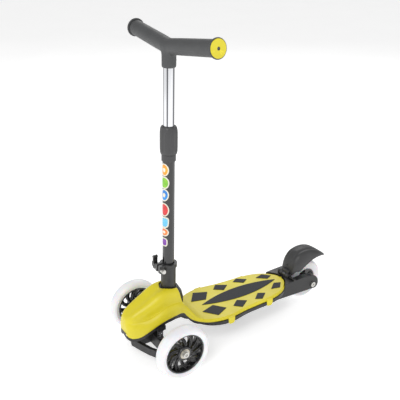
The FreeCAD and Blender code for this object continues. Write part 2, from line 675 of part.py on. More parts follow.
def truck_beam():
    """Beam with a bowed guard in front, two triangular windows, knuckles and the pivot boss."""
    out = "knuckle_out - 2"
    half = [("0", "-63"), ("27", "-55"), ("50", "-47"), ("66", "-39"), (out, "-9"), (out, "4"),
            ("knuckle_in + 2", "6"), ("70", "-7")]
    outline = half + [(f"-({x})", y) for x, y in reversed(half[1:])]
    plan = padded("truck_plan", "XY_Plane", outline, "guard_top - arm_bottom")
    place(plan, Seat("0", "0", "(guard_top + arm_bottom) / 2", (0, 0, 1), "0"))
    arm = box("truck_arm", ("-knuckle_in - 6", "knuckle_in + 6"), ("-22", "-7.2"),
              ("guard_top - 4", "arm_top"))
    knuckles = [cylinder("truck_knuckle_left", "knuckle_radius", "knuckle_in", "knuckle_out",
                         x="0", y="front_radius", along="X"),
                cylinder("truck_knuckle_right", "knuckle_radius", "-knuckle_out", "-knuckle_in",
                         x="0", y="front_radius", along="X")]
    boss = lay_on_pivot(stock("truck_boss", "boss_radius", "2 * boss_half"), "-boss_half")
    windows = []
    for side, sign in (("left", ""), ("right", "-")):
        corners = [(f"{sign}10", "-53"), (f"{sign}27", "-47.5"), (f"{sign}50", "-39.5"),
                   (f"{sign}63", "-32.5"), (f"{sign}71", "-22"), (f"{sign}10", "-22")]
        window = padded(f"truck_window_{side}", "XY_Plane", corners, "60")
        windows.append(place(window, Seat("0", "0", "arm_bottom", (0, 0, 1), "0")))
    bore = lay_on_pivot(stock("truck_bore", "pivot_bolt + running", "160"), "-80")
    clear = [lay_on_pivot(stock("truck_clear_rear", "boss_radius + 1.5", "30"), "boss_half"),
             lay_on_pivot(stock("truck_clear_front", "boss_radius + 1.5", "30"), "-boss_half - 30")]
    axle = cylinder("truck_axle_bore", "axle", "-200", "200", x="0", y="front_radius", along="X")
    solid = fuse("truck_solid", [plan, arm, boss] + knuckles)
    solid.Refine = False
    sub_part(cut("truck_beam", solid, windows + clear + [bore, axle]), CHASSIS)


def pivot_hardware():
    """Pivot bolt with its nut, the two bushes that carry the truck and the return springs."""
    face = "(boss_half + gap + bush_width)"
    head = f"({face} + lug_width)"
    bolt = turned("kingpin_bolt", [("0", f"-{head} - 7"), ("pivot_bolt", f"-{head} - 7"),
                                     ("pivot_bolt", head), ("6.5", head), ("6.5", f"{head} + 4"),
                                     ("0", f"{head} + 4")])
    sub_part(bolt, PIVOT)
    nut_face = f"-{head}"
    sub_part(ring("kingpin_nut", "6.5", "pivot_bolt", f"{nut_face} - 6", nut_face), PIVOT)
    bushes = [ring("kingpin_bush_rear", "9", "pivot_bolt", "boss_half + gap", face),
              ring("kingpin_bush_front", "9", "pivot_bolt", f"-{face}", "-boss_half - gap")]
    sub_part(group("kingpin_bushes", bushes), PIVOT)
    for side, sign in (("left", ""), ("right", "-")):
        coil = ring(f"return_spring_{side}", "spring_radius", "spring_radius - spring_wire",
                    "arm_top + gap", "head_bottom - 3", x=f"{sign}spring_side", y="spring_back")
        sub_part(coil, CHASSIS)


# ---- stem: laid out along the raked column ----

def stem_base():
    """Housing round the foot of the stem, slit socket, clamp and its skewer."""
    housing = turned("head_housing", [("socket_radius", "head_top + 1.5"),
                                      ("housing_radius", "head_top + 1.5"),
                                      ("housing_radius", "125"), ("0.9 * housing_radius", "139"),
                                      ("socket_radius + 4", "housing_top"),
                                      ("socket_radius", "housing_top")])
    sub_part(housing, STEM)
    bore = "lower_tube + running"
    socket = ring("socket_tube", "socket_radius", bore, "socket_bottom", "socket_top")
    slit = box("socket_slit", ("-1", "1"), ("-30", "0"), ("socket_top - 28", "socket_top + 1"))
    sub_part(cut("stem_socket", socket, [slit]), STEM)
    band = ring("clamp_band", "clamp_radius", "socket_radius", "socket_top - clamp_height",
                "socket_top")
    ears = [box(f"clamp_ear_{side}", (low, high), ("-skewer_reach - 5", "-socket_radius + 1"),
                ("skewer_height - 7", "skewer_height + 9.5"))
            for side, low, high in (("left", "2.5", "10"), ("right", "-10", "-2.5"))]
    round_socket = cylinder("clamp_bore", "socket_radius", "150", "240")
    slot = box("clamp_slit", ("-2.5", "2.5"), ("-30", "-10"), ("150", "240"))
    hole = cylinder("clamp_hole", "skewer", "-30", "30", x="-skewer_reach", y="skewer_height",
                    along="X")
    body = fuse("clamp_body", [band] + ears)
    sub_part(cut("clamp_collar", body, [round_socket, slot, hole]), STEM)
    eye = cylinder("skewer_eye", "3.5", "-skewer_reach - 2", "-skewer_reach + 2", x="-16.5",
                   y="skewer_height", along="Y")
    shank = cylinder("skewer_shank", "skewer", "-14", "17", x="-skewer_reach", y="skewer_height",
                     along="X")
    pin_hole = cylinder("skewer_pin_hole", "1.5", "-40", "0", x="-16.5", y="skewer_height",
                        along="Y")
    sub_part(cut("clamp_skewer", fuse("skewer_solid", [eye, shank]), [pin_hole]), STEM)
    nut = ring("acorn_skirt", "4.8", "skewer", "10", "17", x="-skewer_reach", y="skewer_height",
               along="X")
    dome = cylinder("acorn_dome", "4", "17", "20", x="-skewer_reach", y="skewer_height", along="X")
    sub_part(fuse("clamp_nut", [nut, dome]), STEM)
    pin = cylinder("lever_pin", "1.5", "-skewer_reach - 5", "-skewer_reach + 5", x="-16.5",
                   y="skewer_height", along="Y")
    sub_part(pin, STEM)


def clamp_lever():
    """Cam lever: two cheeks on the skewer's pin, a cam block and a short blade with a rolled end."""
    reach = ("-skewer_reach - 5", "-skewer_reach + 5")
    cheeks = [cylinder(f"lever_cheek_{side}", "6.2", low, high, x="-16.5", y="skewer_height",
                       along="Y")
              for side, low, high in (("front", reach[0], "-skewer_reach - 2.8"),
                                      ("back", "-skewer_reach + 2.8", reach[1]))]
    cam = box("lever_cam", ("-25", "-20.3"), reach, ("skewer_height - 2", "skewer_height + 8"))
    blade = box("lever_blade", ("-21.5", "-18"), reach, ("skewer_height + 3.8", "skewer_height + 20"))
    roll = cylinder("lever_roll", "3.2", *reach, x="-19.75", y="skewer_height + 20", along="Y")
    hole = cylinder("lever_hole", "1.5 + running", "-60", "0", x="-16.5", y="skewer_height",
                    along="Y")
    sub_part(cut("clamp_lever", fuse("lever_solid", cheeks + [cam, blade, roll]), [hole]), STEM)


def lower_column():
    """Tube that plugs into the socket, its step ring and the sleeve that locks the height."""
    tube_top = "(sleeve_top - 6)"
    tube = ring("lower_tube_stock", "lower_tube", "lower_bore", "socket_bottom + 6", tube_top)
    notch = box("tube_notch", ("-3", "3"), ("-20", "0"), ("socket_top + 3", "socket_top + 15"))
    sub_part(cut("lower_tube", tube, [notch]), STEM)
    sub_part(ring("step_ring", "lower_tube + 2", "lower_tube", "sleeve_bottom - 14",
                  "sleeve_bottom - gap"), STEM)
    slide = "upper_tube + slide"
    bush = turned("tube_bush", [(slide, f"{tube_top} - 45"), ("lower_bore", f"{tube_top} - 45"),
                                ("lower_bore", tube_top), ("lower_tube", tube_top),
                                ("lower_tube", f"{tube_top} + 2"), (slide, f"{tube_top} + 2")])
    sub_part(bush, STEM)
    inner, cap = "lower_tube + slide", f"{tube_top} + 2 + gap"
    sleeve = turned("lock_sleeve", [(inner, "sleeve_bottom"), ("sleeve_radius - 2", "sleeve_bottom"),
                                    ("sleeve_radius", "sleeve_bottom + 4"),
                                    ("sleeve_radius", "sleeve_top - 8"),
                                    ("sleeve_radius - 3", "sleeve_top"),
                                    ("upper_tube + gap", "sleeve_top"),
                                    ("upper_tube + gap", cap), (inner, cap)])
    sub_part(sleeve, STEM)


def upper_column():
    """Chrome tube that slides in the lower one and carries the handlebar."""
    top = "tee_bottom + 33"
    sub_part(ring("upper_tube", "upper_tube", "upper_bore", "upper_bottom", top), STEM)


def arm_seat(sign):
    """Seat along one handlebar arm, from the apex outwards, as a placement in the stem layout."""
    reach, sweep, rise = number("bar_width / 2"), number("bar_sweep"), number("bar_rise")
    return FreeCAD.Rotation(V(0, 0, 1), V(sign * reach, sweep, rise))


def on_arm(piece, sign):
    """Lay a piece whose axis is its own Z along one handlebar arm."""
    rake = FreeCAD.Rotation(V(1, 0, 0), -number("stem_rake"))
    base = V(0, number(STEM.y), 0) + rake.multVec(V(0, 0, number("bar_height")))
    piece.Placement = FreeCAD.Placement(base, rake * arm_seat(sign))
    piece.Label = piece.Name
    SUB_PARTS.append(piece)


def handlebar():
    """Moulded T-bar: a boss on the tube and two arms that rise and sweep back a little."""
    arms = []
    bores = []
    for side, sign in (("left", 1), ("right", -1)):
        arm = stock(f"bar_arm_{side}", "grip_radius", "grip_end")
        bore = stock(f"bar_bore_{side}", "core_radius", "grip_end - 15")
        turn = arm_seat(sign)
        arm.Placement = FreeCAD.Placement(V(0, 0, number("bar_height")), turn)
        start = turn.multVec(V(0, 0, 16))
        bore.Placement = FreeCAD.Placement(V(0, 0, number("bar_height")) + start, turn)
        arms.append(arm)
        bores.append(bore)
    ball = bind(DOC.addObject("Part::Sphere", "bar_ball"), Radius="grip_radius")
    place(ball, Seat("0", "0", "bar_height", (0, 0, 1), "0"))
    boss = cylinder("bar_boss", "tee_radius", "tee_bottom", "bar_height")
    tube = cylinder("bar_tube_bore", "upper_tube", "tee_bottom - 1", "tee_bottom + 33")
    screw = cylinder("bar_screw_bore", "2", "0", "30", x="0", y="tee_bottom + 14", along="Y")
    seat = cylinder("bar_screw_seat", "4", "tee_radius - 2", "30", x="0", y="tee_bottom + 14",
                    along="Y")
    solid = fuse("bar_solid", arms + [ball, boss])
    sub_part(cut("handlebar_body", solid, bores + [tube, screw, seat]), STEM)
    head = cylinder("tee_screw_head", "4", "tee_radius - 2", "tee_radius", x="0",
                    y="tee_bottom + 14", along="Y")
    shank = cylinder("tee_screw_shank", "2", "upper_tube", "tee_radius - 2", x="0",
                     y="tee_bottom + 14", along="Y")
    sub_part(fuse("tee_screw", [head, shank]), STEM)


def grip_end(side, sign):
    """Steel core, end flange, cap and cap screw of one handlebar arm."""
    on_arm(ring(f"bar_core_{side}", "core_radius", "core_bore", "16", "grip_end"), sign)
    flange_end = "(grip_end + flange_width)"
    on_arm(ring(f"grip_flange_{side}", "flange_radius", "core_bore", "grip_end", flange_end), sign)
    end = "(bar_width / 2 + 1.2)"
    cap = turned(f"end_cap_{side}", [("0", f"{flange_end} - 14"), ("core_bore", f"{flange_end} - 14"),
                                     ("core_bore", flange_end), ("cap_radius", flange_end),
                                     ("cap_radius", f"{end} - 0.5"), ("cap_radius - 0.7", end),
                                     ("3.2", end), ("3.2", f"{end} - 1.5"),
                                     ("1.5", f"{end} - 1.5"), ("1.5", f"{end} - 13"),
                                     ("0", f"{end} - 13")])
    on_arm(cap, sign)
    screw = turned(f"cap_screw_{side}", [("0", f"{end} - 13"), ("1.5", f"{end} - 13"),
                                         ("1.5", f"{end} - 1.5"), ("3.2", f"{end} - 1.5"),
                                         ("3.2", f"{end} - 0.5"), ("0", f"{end} - 0.2")])
    on_arm(screw, sign)


# ---- the scooter ----

deck_base()
top_shell()
grip_pad()
grip_diamonds()
screws("deck_screws", deck_screw_spots(), number("base_bottom") - 1.6, number("base_bottom"),
       number("seam") + 3, 3.5)
screws("fork_screws", fork_screw_spots(), number("fork_bottom") + 7.5, number("fork_bottom") + 10,
       number("seam") - 2, 3.6)
rear_fork()
rear_axle()
rear_wheel()
brake_fender()
brake_hinge()
truck_beam()
pivot_hardware()
for side in ("left", "right"):
    front_wheel(side)
    front_axle(side)
stem_base()
clamp_lever()
lower_column()
upper_column()
handlebar()
for side, sign in (("left", 1), ("right", -1)):
    grip_end(side, sign)

DOC.recompute()
for thing in DOC.Objects:
    if set(thing.State) & {"Invalid", "Error"}:
        raise RuntimeError(f"{thing.Name} failed: {thing.State}")
for piece in SUB_PARTS:
    if piece.Shape.isNull() or not piece.Shape.isValid():
        raise RuntimeError(f"{piece.Name} has no valid shape")

os.makedirs("parts", exist_ok=True)
for piece in SUB_PARTS:
    piece.Shape.exportStep(f"parts/{piece.Label}.step")
print(f"{len(SUB_PARTS)} sub-parts written")
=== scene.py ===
import bpy
import bmesh
import math
from mathutils import Matrix, Vector


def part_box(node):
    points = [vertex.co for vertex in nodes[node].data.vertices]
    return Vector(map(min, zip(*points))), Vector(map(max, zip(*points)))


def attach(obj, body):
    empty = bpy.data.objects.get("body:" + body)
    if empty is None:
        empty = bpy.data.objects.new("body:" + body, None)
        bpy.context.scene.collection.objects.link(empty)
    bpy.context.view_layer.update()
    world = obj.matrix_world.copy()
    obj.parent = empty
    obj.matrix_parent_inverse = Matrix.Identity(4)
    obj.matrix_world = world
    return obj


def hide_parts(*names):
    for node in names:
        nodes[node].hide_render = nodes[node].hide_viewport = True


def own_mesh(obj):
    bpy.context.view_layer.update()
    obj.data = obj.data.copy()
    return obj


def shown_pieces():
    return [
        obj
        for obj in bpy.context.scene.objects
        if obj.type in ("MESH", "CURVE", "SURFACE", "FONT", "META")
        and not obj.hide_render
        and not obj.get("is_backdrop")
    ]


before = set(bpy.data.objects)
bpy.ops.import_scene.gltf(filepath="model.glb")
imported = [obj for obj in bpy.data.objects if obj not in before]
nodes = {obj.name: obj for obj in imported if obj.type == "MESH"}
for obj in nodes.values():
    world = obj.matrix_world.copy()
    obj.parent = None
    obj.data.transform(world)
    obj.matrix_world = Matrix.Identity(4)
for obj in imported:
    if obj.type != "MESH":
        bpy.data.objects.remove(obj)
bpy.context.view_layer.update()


# ---- Camera and room ----
# The scooter stands on a pale seamless floor in soft studio light, seen from its front left and a
# little above. Stations along the scooter are counted from the front axle, in millimetres.

front_axle_y = sum(corner.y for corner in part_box("front_axle_nut_left")) / 2

camera_data = bpy.data.cameras.new("camera")
camera_data.lens = 56.26
camera_data.sensor_width = 36
camera = bpy.data.objects.new("camera", camera_data)
bpy.context.scene.collection.objects.link(camera)
azimuth, elevation = math.radians(57.43), math.radians(23.31)
aim = Vector((-0.0384, front_axle_y + 0.13525, 0.3133))
backwards = Vector((math.sin(azimuth) * math.cos(elevation),
                    -math.cos(azimuth) * math.cos(elevation), math.sin(elevation)))
camera.location = aim + backwards * 1.3584
camera.rotation_euler = backwards.to_track_quat("Z", "Y").to_euler()
bpy.context.scene.camera = camera
bpy.context.scene.view_settings.view_transform = "Standard"


def soft_lamp(name, place, size, power):
    """Large square lamp turned towards the scooter."""
    lamp = bpy.data.lights.new(name, "AREA")
    lamp.size = size
    lamp.energy = power
    holder = bpy.data.objects.new(name, lamp)
    holder.location = place
    holder.rotation_euler = (Vector(place) - Vector((0, 0, 0.3))).to_track_quat("Z", "Y").to_euler()
    bpy.context.scene.collection.objects.link(holder)


soft_lamp("key", (1.5, -1.9, 2.4), 1.5, 42)
soft_lamp("fill", (2.3, 1.3, 1.3), 1.8, 11)
soft_lamp("back", (-2.0, 1.6, 2.2), 1.5, 20)
soft_lamp("front", (-0.9, -2.5, 1.1), 1.6, 8)

world = bpy.data.worlds.new("room")
bpy.context.scene.world = world
world.use_nodes = True
world.node_tree.nodes["Background"].inputs[0].default_value = (1, 1, 1, 1)
world.node_tree.nodes["Background"].inputs[1].default_value = 0.5


class Wire:
    """One output socket of a material's nodes; arithmetic on it adds Math nodes."""

    def __init__(self, finish, socket):
        self.finish = finish
        self.socket = socket

    def maths(self, operation, *others):
        return self.finish.node("Math", {"operation": operation}, dict(enumerate((self, *others))))

    def __add__(self, other):
        return self.maths("ADD", other)

    __radd__ = __add__

    def __mul__(self, other):
        return self.maths("MULTIPLY", other)

    __rmul__ = __mul__

    def __sub__(self, other):
        return self.maths("SUBTRACT", other)

    def __rsub__(self, other):
        return self.maths("MULTIPLY", -1).maths("ADD", other)

    def step(self, low, high):
        """Smooth rise from 0 at low to 1 at high."""
        return self.finish.node("MapRange", {"interpolation_type": "SMOOTHSTEP"},
                                {0: self, 1: low, 2: high, 3: 0.0, 4: 1.0})


class Finish:
    """A material under way: its tree, its shader and its own nodes."""

    def __init__(self, name, constants=None):
        self.material = bpy.data.materials.new(name)
        self.material.use_nodes = True
        self.tree = self.material.node_tree
        self.shader = self.tree.nodes["Principled BSDF"]
        self.set(constants or {})
        self.position = self.node("TexCoord", output="Object")

    def feed(self, socket, value):
        if isinstance(value, Wire):
            self.tree.links.new(value.socket, socket)
        else:
            socket.default_value = (*value, 1.0) if isinstance(value, tuple) else value

    def node(self, kind, settings=None, sockets=None, output=0):
        """Any node: its settings first, then the values and links of its sockets."""
        made = self.tree.nodes.new("ShaderNode" + kind)
        for key, value in (settings or {}).items():
            setattr(made, key, value)
        for key, value in (sockets or {}).items():
            self.feed(made.inputs[key], value)
        return Wire(self, made.outputs[output])

    def set(self, sockets):
        for key, value in sockets.items():
            self.feed(self.shader.inputs[key], value)

    def noise(self, scale, detail=3.0, stretch=None):
        """Soft noise over the piece, in grains per metre; stretch scales it along X, Y and Z."""
        where = self.position
        if stretch:
            where = self.node("Mapping", {}, {"Vector": where})
            where.socket.node.inputs["Scale"].default_value = stretch
        return self.node("TexNoise", {}, {"Vector": where, "Scale": scale, "Detail": detail})

    def along(self, letter):
        """Position along one axis of the scooter, in metres."""
        return self.node("SeparateXYZ", {}, {0: self.position}, output=letter)

    def mix(self, share, first, second):
        """Colour between two colours."""
        return self.node("Mix", {"data_type": "RGBA"}, {0: share, 6: first, 7: second}, output=2)

    def relief(self, height, strength, depth):
        """Bump with its real depth in metres."""
        bump = self.node("Bump", {}, {"Strength": strength, "Distance": depth, "Height": height})
        self.set({"Normal": bump})

    def edges(self):
        """1 on convex edges, 0 on flats."""
        return self.node("NewGeometry", output="Pointiness").step(0.515, 0.56)


def paint(red, green, blue):
    """Linear colour from display values of 0 to 255."""
    return tuple((value / 255 / 12.92) if value < 11 else ((value / 255 + 0.055) / 1.055) ** 2.4
                 for value in (red, green, blue))


def dress(piece, finish):
    """Give a piece or a CAD node its one finish."""
    piece.data.materials.clear()
    piece.data.materials.append(finish.material)


floor_finish = Finish("studio_floor", {"Specular IOR Level": 0.2, "Emission Strength": 0.42,
                                       "Emission Color": (1.0, 1.0, 1.0)})
floor_tone = floor_finish.noise(2.5).step(0.3, 0.7)
floor_finish.set({"Base Color": floor_finish.mix(floor_tone, (0.93, 0.93, 0.93), (0.95, 0.95, 0.95)),
                  "Roughness": floor_tone * 0.05 + 0.7})
floor_mesh = bpy.data.meshes.new("floor")
floor_mesh.from_pydata([(-90, -90, 0), (90, -90, 0), (90, 90, 0), (-90, 90, 0)], [], [(0, 1, 2, 3)])
floor = bpy.data.objects.new("floor", floor_mesh)
bpy.context.scene.collection.objects.link(floor)
dress(floor, floor_finish)
floor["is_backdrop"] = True


# ---- Yellow top moulding ----
# One injection-moulded polypropylene shell: cowl over the truck, neck and deck cover. Its flange
# runs on from the cowl's lip to the deck's edge, and its clip tabs hang over the black base.

chassis = Matrix.Translation((0, front_axle_y, 0)) @ Matrix.Scale(0.001, 4)
stem_rake = math.radians(1.49)
stem = (chassis @ Matrix.Translation((0, 26.1, 0)) @ Matrix.Rotation(-stem_rake, 4, "X"))


def built(name, points, faces, place, body):
    """Smooth mesh piece from points in millimetres laid out in a place, riding on a body."""
    mesh = bpy.data.meshes.new(name)
    mesh.from_pydata([place @ Vector(point) for point in points], [], faces)
    shape = bmesh.new()
    shape.from_mesh(mesh)
    bmesh.ops.remove_doubles(shape, verts=shape.verts, dist=2e-6)
    bmesh.ops.recalc_face_normals(shape, faces=shape.faces)
    highest = max(shape.faces, key=lambda face: face.calc_center_median().z)
    if highest.normal.z < 0:
        bmesh.ops.reverse_faces(shape, faces=shape.faces)
    shape.to_mesh(mesh)
    shape.free()
    mesh.shade_smooth()
    piece = bpy.data.objects.new(name, mesh)
    bpy.context.scene.collection.objects.link(piece)
    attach(piece, body)
    return piece


def grid(rows, columns, closed=False):
    """Quads over rows of points; closed joins each row's end to its start."""
    last = columns if closed else columns - 1
    return [(r * columns + c, r * columns + (c + 1) % columns,
             (r + 1) * columns + (c + 1) % columns, (r + 1) * columns + c)
            for r in range(rows - 1) for c in range(last)]


def modify(piece, kind, **settings):
    made = piece.modifiers.new(kind.lower(), kind)
    for key, value in settings.items():
        setattr(made, key, value)
    return made


def settle(piece, *spent):
    """Make the modifiers' result the piece's own mesh, and remove the tools they used."""
    graph = bpy.context.evaluated_depsgraph_get()
    mesh = bpy.data.meshes.new_from_object(piece.evaluated_get(graph))
    piece.modifiers.clear()
    piece.data = mesh
    for tool in spent:
        bpy.data.objects.remove(tool)


def between(stations, y, column):
    """Smooth value of one column of a table of stations."""
    last = len(stations) - 2
    k = min(max(sum(1 for row in stations if row[0] <= y) - 1, 0), last)
    t = min(max((y - stations[k][0]) / (stations[k + 1][0] - stations[k][0]), 0), 1)
    a, b, c, d = (stations[min(max(k + step, 0), last + 1)][column] for step in (-1, 0, 1, 2))
    return 0.5 * (2 * b + (c - a) * t + (2 * a - 5 * b + 4 * c - d) * t * t
                  + (3 * b - a - 3 * c + d) * t ** 3)


def turned(name, section, place, body, around=72, wobble=None):
    """Piece turned from (radius, height) points about Z; wobble swells it round its axis."""
    points = []
    for radius, height in section:
        for k in range(around):
            angle = 2 * math.pi * k / around
            swell = radius + (wobble(angle, radius, height) if wobble else 0)
            points.append((swell * math.cos(angle), swell * math.sin(angle), height))
    return built(name, points, grid(len(section), around, closed=True), place, body)


# station, half width, lip height, crease half width and height, rise of the dome above it
shell_stations = [
    (-80.3, 9, 77, 6, 95, 1), (-79.6, 14, 73, 11, 99, 5), (-77, 20, 69.5, 15.5, 102, 9),
    (-72, 26.5, 69, 20, 104, 13), (-66, 31, 70, 23.5, 105, 17), (-56, 37, 74, 26.5, 106, 22),
    (-42, 42, 83, 30, 108, 27), (-25, 45, 92, 32.5, 113, 30.5), (-8, 46, 98.5, 34, 121, 32),
    (10, 46, 102, 34.5, 127.5, 31), (26, 45, 103.5, 34.5, 128.5, 30), (37, 43, 103.3, 34, 126.5, 30),
    (42.5, 41.5, 100, 33, 124.5, 27), (45.5, 40.5, 97, 33, 122.5, 3), (51, 40, 91, 33, 115, 0.6),
    (60, 41, 80, 35.5, 103, 0), (68, 43.5, 74, 39, 91, 0), (76, 47, 70, 43.5, 80, 0),
    (86, 52, 67.4, 49, 74.6, 0), (98, 58.5, 66.2, 55.5, 73, 0), (112, 64.2, 66, 61.2, 73, 0),
    (128, 68, 66, 65, 73, 0), (146, 69.6, 66, 66.6, 73, 0), (165, 67.5, 66, 64.5, 73, 0),
    (190, 63.2, 66, 60.2, 73, 0), (220, 61, 66, 58, 73, 0), (255, 59.3, 66, 56.3, 73, 0),
    (285, 55.8, 66, 52.8, 73, 0), (306, 49, 66, 46, 73, 0), (322, 40, 66, 37, 73, 0),
    (334, 29, 66, 26.3, 73, 0), (341, 19, 66, 17, 73, 0), (344.4, 9, 66, 7.5, 73, 0),
]


def shell_row(y):
    """Left half of the shell at a station, from its lip up to the centre line."""
    half, lip, crease, crease_z, dome = (between(shell_stations, y, k) for k in range(1, 6))
    band = min(6.0, 0.5 * (crease_z - lip))
    row = [(half - 0.4, lip), (half, lip + 0.7), (half, lip + band - 1.0), (half - 0.9, lip + band)]
    top = lip + band
    ridge = min(1.0, max(0.0, (crease_z - lip - 8) / 14))
    for t in (0.3, 0.52, 0.74, 0.9):
        bulge = 3.4 * ridge * math.sin(math.pi * t ** 0.8)
        row.append((half - 0.9 + (crease - half + 0.9) * t + 0.7 * bulge,
                    top + (crease_z - top) * t ** 1.15 + 0.6 * bulge))
    groove = min(1.0, dome / 12)
    row += [(crease, crease_z - 2.6 * groove), (crease - 1.3, crease_z + 0.03 * dome)]
    for k in range(1, 12):
        angle = math.pi / 2 * k / 11
        x = (crease - 1.3) * math.cos(angle) ** 0.62 if k < 11 else 0.0
        rise = math.sin(angle) ** 0.8 - 0.2 * math.exp(-((x / 11) ** 2)) * min(1, (40 - y) / 30)
        row.append((x, crease_z + dome * (0.03 + 0.97 * rise)))
    return row


shell_points = []
shell_rows = 0
for k, row in enumerate(shell_stations):
    nexts = shell_stations[k + 1][0] if k + 1 < len(shell_stations) else None
    for y in (row[0],) if nexts is None else (row[0], (row[0] + nexts) / 2):
        half_row = shell_row(y)
        whole = half_row + [(-x, z) for x, z in reversed(half_row[:-1])]
        shell_points += [(x, y, z) for x, z in whole]
        shell_rows += 1
shell_columns = len(shell_points) // shell_rows
shell_faces = grid(shell_rows, shell_columns)
for start in (0, (shell_rows - 1) * shell_columns):
    for c in range(shell_columns // 2 - 1):
        mirror = start + shell_columns - 1 - c
        shell_faces.append((start + c, start + c + 1, mirror - 1, mirror))
top_moulding = built("yellow_top_moulding", shell_points, shell_faces, chassis, "deck")
modify(top_moulding, "SUBSURF", levels=1, render_levels=1)
modify(top_moulding, "SOLIDIFY", thickness=0.0026, offset=-1)
opening = turned("opening", [(0, 90), (32.4, 90), (32.4, 125.3), (29.2, 139.3), (20.6, 153.2),
                             (20.6, 200), (0, 200)], stem, "deck", around=64)
modify(top_moulding, "BOOLEAN", operation="DIFFERENCE", object=opening, solver="MANIFOLD")
settle(top_moulding, opening)
nose = min(corner.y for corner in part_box("top_shell"))
for vertex in top_moulding.data.vertices:
    vertex.co.y = max(vertex.co.y, nose + 0.0002)
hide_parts("top_shell")


def moulded(name, colour, shade, roughness, coat=0.0, grain=0.3):
    """Injection-moulded plastic: faint clouding, fine grain, and edges rubbed a little paler."""
    finish = Finish(name, {"Coat Weight": coat, "Coat Roughness": 0.22})
    tone = finish.mix(finish.noise(13, 4.0).step(0.35, 0.72) * 0.6, colour, shade)
    rubbed = finish.edges() * finish.noise(110).step(0.42, 0.66)
    pale = tuple(min(1.0, 1.3 * value + 0.02) for value in colour)
    scuffs = finish.noise(420, 4.0, stretch=(1, 0.25, 1)).step(0.56, 0.72)
    finish.set({"Base Color": finish.mix(rubbed * 0.45, tone, pale),
                "Roughness": finish.noise(45).step(0.2, 0.8) * 0.1 + scuffs * 0.08 + roughness})
    finish.relief(finish.noise(2400, 2.0), grain, 0.00008)
    return finish


yellow = moulded("moulded_yellow", paint(222, 207, 30), paint(205, 190, 24), 0.36, coat=0.12)
dress(top_moulding, yellow)


def clip_tab(name, side, y, reach, half_length):
    """Clip tab with a rounded foot that folds over the base's edge."""
    outline = [(-half_length, 70.5), (-half_length * 0.93, 60), (-half_length * 0.72, 55.6),
               (-half_length * 0.4, 54.2), (half_length * 0.4, 54.2), (half_length * 0.72, 55.6),
               (half_length * 0.93, 60), (half_length, 70.5)]
    points = []
    for x in (reach - 3.6, reach + 2.9, reach + 3.8):
        inset = 0.6 if x == reach + 3.8 else 0.0
        lean = 0.9 if x > reach else 0.0
        for step, z in outline:
            shy = 1 - inset / half_length
            fold = lean * (z - 54) / 16
            points.append((side * (x - fold), y + step * shy, z + inset * (z < 60) - inset * (z > 70)))
    count = len(outline)
    faces = grid(3, count, closed=True) + [tuple(range(count)), tuple(range(2 * count, 3 * count))]
    tab = built(name, points, faces, chassis, "deck")
    modify(tab, "BEVEL", width=0.0006, segments=3, limit_method="ANGLE", harden_normals=False)
    dress(tab, yellow)


for side, word in ((1, "left"), (-1, "right")):
    clip_tab(f"clip_tab_front_{word}", side, 148, 70, 9)
    clip_tab(f"clip_tab_back_{word}", side, 263, 58.5, 9)


# ---- Black base moulding ----
# Glass-filled nylon tray under the cover: spine, head block and the rim under the cowl's lip. It
# stays as the CAD has it, with its moulded edges softened.

def soften(name, finish, width=0.0006, segments=3):
    """Round the edges of a CAD node with modifiers only, and give it its finish."""
    piece = nodes[name]
    modify(piece, "WELD", merge_threshold=0.00001)
    modify(piece, "BEVEL", width=width, segments=segments, limit_method="ANGLE",
           angle_limit=math.radians(32), use_clamp_overlap=True)
    modify(piece, "WEIGHTED_NORMAL", keep_sharp=True)
    dress(piece, finish)


black = moulded("moulded_black", paint(29, 29, 30), paint(22, 22, 23), 0.38, grain=0.45)
soften("deck_base", black, width=0.0005, segments=2)


# ---- Grip pads ----
# Thermoplastic rubber islands moulded into the cover: one spindle on the centre line and four
# pairs of lozenges, charcoal with a fine pimpled grain.

grip_rubber = Finish("grip_rubber", {"Specular IOR Level": 0.35})
pimples = grip_rubber.node("TexVoronoi", {}, {"Vector": grip_rubber.position, "Scale": 900.0})
dust = grip_rubber.noise(60, 5.0).step(0.48, 0.75)
grip_rubber.set({"Base Color": grip_rubber.mix(dust * 0.35, paint(56, 57, 60), paint(78, 79, 82)),
                 "Roughness": dust * 0.12 + 0.68})
grip_rubber.relief(1 - pimples.step(0.1, 0.6), 0.6, 0.00025)
for name in ("grip_pad", "grip_diamonds"):
    soften(name, grip_rubber, width=0.0004, segments=2)


# ---- Screws, bolts and nuts ----
# Zinc-plated steel fasteners: pan heads under the deck, socket-head axle bolts, lock nuts and
# washers. The plating has faint turning marks and dulls at the edges.

def plated(name, colour, roughness, rings=9000.0):
    """Plated steel with fine turning marks and slight staining."""
    finish = Finish(name, {"Metallic": 1.0})
    stain = finish.noise(160, 4.0).step(0.45, 0.75)
    dull = tuple(value * 0.72 for value in colour)
    finish.set({"Base Color": finish.mix(stain * 0.5 + finish.edges() * 0.2, colour, dull),
                "Roughness": stain * 0.12 + finish.noise(700).step(0.3, 0.7) * 0.06 + roughness})
    finish.relief(finish.noise(rings / 4, 1.0, stretch=(0.2, 1, 1)), 0.12, 0.00004)
    return finish


zinc = plated("zinc_steel", paint(205, 204, 200), 0.24)
for name in nodes:
    if "axle_bolt" in name or "axle_nut" in name or "washers" in name or name.startswith("kingpin_"):
        soften(name, zinc, width=0.0004, segments=2)
for name in ("deck_screws", "fork_screws", "rear_axle_spacers", "lever_pin", "tee_screw",
             "cap_screw_left", "cap_screw_right"):
    soften(name, zinc, width=0.0003, segments=2)
bush_nylon = moulded("bush_nylon", paint(205, 203, 196), paint(190, 188, 180), 0.45)
soften("kingpin_bushes", bush_nylon, width=0.0003, segments=2)


# ---- Rear fork ----
# Black nylon block bolted under the tail. Two cheeks run back to the rear axle, and two ears on
# top take the hinge pin of the brake.

